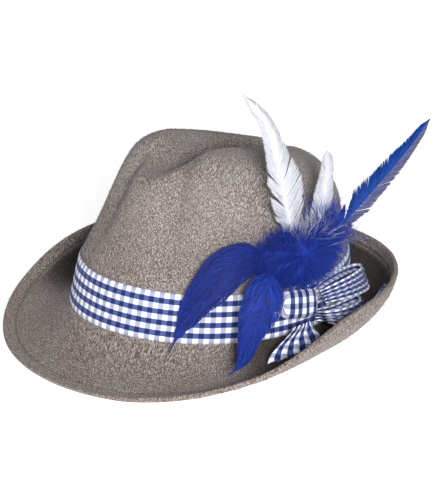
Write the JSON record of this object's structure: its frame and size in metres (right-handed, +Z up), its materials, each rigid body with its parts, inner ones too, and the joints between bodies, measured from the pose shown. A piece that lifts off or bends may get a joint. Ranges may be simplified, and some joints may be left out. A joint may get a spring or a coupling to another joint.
{
  "type": "tyrolean hat",
  "caption": "Felt hat with a creased, pinched crown, a brim low in front and rolled up at the sides and back, a checked ribbon with a bow, and white and blue feathers",
  "frame": {"origin": "The middle of the head opening, on the surface that the hat rests on. +Z is up, -Y is the front of the hat and +X is the wearer's left, where the feathers are.", "axes": "X across the head, Y from the front to the back, Z up"},
  "size_m": [0.2514, 0.2782, 0.1725],
  "materials": {
    "felt": "heather grey-brown felt",
    "checked_ribbon": "blue and white check, woven",
    "white_feather": "soft white feather",
    "blue_feather": "dyed blue feather and down"
  },
  "bodies": {
    "root": {"felt_body": "felt", "hat_band": "checked_ribbon", "bow_knot": "checked_ribbon", "bow_loop_upper": "checked_ribbon", "bow_loop_lower": "checked_ribbon", "bow_tail_front": "checked_ribbon", "bow_tail_back": "checked_ribbon", "white_feather_tall": "white_feather", "white_feather_short": "white_feather", "blue_feather_long": "blue_feather", "blue_tuft": "blue_feather", "blue_hackle_left": "blue_feather", "blue_hackle_down": "blue_feather", "blue_fluff": "blue_feather"}
  },
  "joints": []
}
